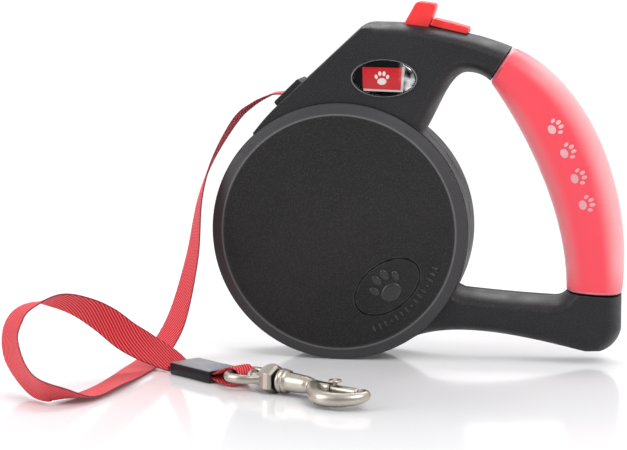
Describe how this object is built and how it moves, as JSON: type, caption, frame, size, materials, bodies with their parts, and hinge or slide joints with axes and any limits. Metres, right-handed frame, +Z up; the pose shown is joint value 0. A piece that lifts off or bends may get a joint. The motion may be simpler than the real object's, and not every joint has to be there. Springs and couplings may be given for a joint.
{
  "type": "retractable leash",
  "caption": "Retractable tape leash: disc casing with a looped gel grip, spring driven spool, thumb brake with lock, and a swivel snap hook on a flat tape.",
  "frame": {"origin": "the middle of the rear cover's flat face, on the spool's axis", "axes": "+X from the spool towards the grip, +Z up towards the thumb button, -Y out of the face that carries the badge"},
  "size_m": [0.2313, 0.1285, 0.1446],
  "materials": {
    "casing_plastic": "finely grained charcoal",
    "cover_plastic": "finely grained charcoal",
    "gloss_black": "polished",
    "badge_print": "printed red label",
    "clear_lens": "clear",
    "gel": "frosted translucent",
    "grip_core": "satin",
    "button_red": "satin",
    "tape_red": "woven nylon",
    "sleeve_plastic": "satin",
    "spool_plastic": "moulded",
    "steel": "bright",
    "spring_steel": "blued",
    "hook_metal": "satin nickel"
  },
  "bodies": {
    "casing": {"front_casing": "casing_plastic", "rear_casing": "casing_plastic", "exit_guide": "casing_plastic", "front_cover": "cover_plastic", "rear_cover": "cover_plastic", "badge_plate": "gloss_black", "badge_label": "badge_print", "badge_lens": "clear_lens", "gel_sleeve": "gel", "grip_core": "grip_core", "pawl_pin": "steel", "guide_bar": "steel", "brake_spring": "spring_steel", "spool_axle": "steel", "front_washer": "steel", "rear_washer": "steel", "casing_screw_1": "steel", "casing_screw_2": "steel", "casing_screw_3": "steel", "casing_screw_4": "steel", "casing_screw_5": "steel", "casing_screw_6": "steel", "tape_run": "tape_red"},
    "spool": {"spool": "spool_plastic", "ratchet_flange": "spool_plastic", "spring_cover": "spool_plastic", "mainspring": "spring_steel", "tape_coil": "tape_red"},
    "button": {"brake_button": "button_red"},
    "lock": {"lock_slider": "button_red"},
    "pawl": {"brake_pawl": "steel"},
    "tape_mouth": {"tape_exit": "tape_red"},
    "tape_strip": {"tape_lead": "tape_red", "tape_loop": "tape_red"},
    "tape_end": {"tape_sleeve": "sleeve_plastic", "tape_eye_fold": "tape_red"},
    "swivel": {"swivel_eye": "hook_metal"},
    "hook": {"hook_body": "hook_metal", "swivel_rivet": "steel", "bolt_spring": "spring_steel"},
    "bolt": {"hook_bolt": "hook_metal", "bolt_knob": "hook_metal"}
  },
  "joints": [
    {"name": "tape_payout", "type": "slide", "parent": "casing", "child": "tape_mouth", "axis": [-1, 0, 0], "range_m": [0, 4.39823]},
    {"name": "spool_spin", "type": "hinge", "parent": "casing", "child": "spool", "pos_m": [0, -0.0165, 0], "axis": [0, -1, 0], "range_deg": [0, 7875], "deforming": ["mainspring"]},
    {"name": "brake_press", "type": "slide", "parent": "casing", "child": "button", "axis": [-0.4051, 0, -0.9143], "range_m": [0, 0.0055]},
    {"name": "pawl_turn", "type": "hinge", "parent": "casing", "child": "pawl", "pos_m": [-0.009, -0.0165, 0.0545], "axis": [0, 1, 0], "range_deg": [0, 11.4], "deforming": ["brake_spring"]},
    {"name": "lock_slide", "type": "slide", "parent": "casing", "child": "lock", "axis": [0.976, 0, -0.218], "range_m": [0, 0.0035]},
    {"name": "tape_swing", "type": "hinge", "parent": "tape_mouth", "child": "tape_strip", "pos_m": [-0.0304, -0.0171, 0.0538], "axis": [0, 1, 0], "range_deg": [0, 50]},
    {"name": "tape_bend", "type": "hinge", "parent": "tape_strip", "child": "tape_end", "pos_m": [-0.057, -0.0651, -0.0497], "axis": [0.638, 0.77, 0], "range_deg": [-45, 0]},
    {"name": "eye_swing", "type": "hinge", "parent": "tape_end", "child": "swivel", "pos_m": [-0.0308, -0.0886, -0.047], "axis": [0.475, 0.88, 0], "range_deg": [-50, 5]},
    {"name": "swivel_spin", "type": "hinge", "parent": "swivel", "child": "hook", "pos_m": [-0.0143, -0.0975, -0.047], "axis": [0.88, -0.475, 0], "continuous": true},
    {"name": "bolt_pull", "type": "slide", "parent": "hook", "child": "bolt", "axis": [-0.88, 0.475, 0], "range_m": [0, 0.007], "deforming": ["bolt_spring"]}
  ],
  "couplings": [
    {"joint": "spool_spin", "follows": "tape_payout", "rad_per_m": 31.25},
    {"joint": "pawl_turn", "follows": "brake_press", "rad_per_m": 36}
  ]
}
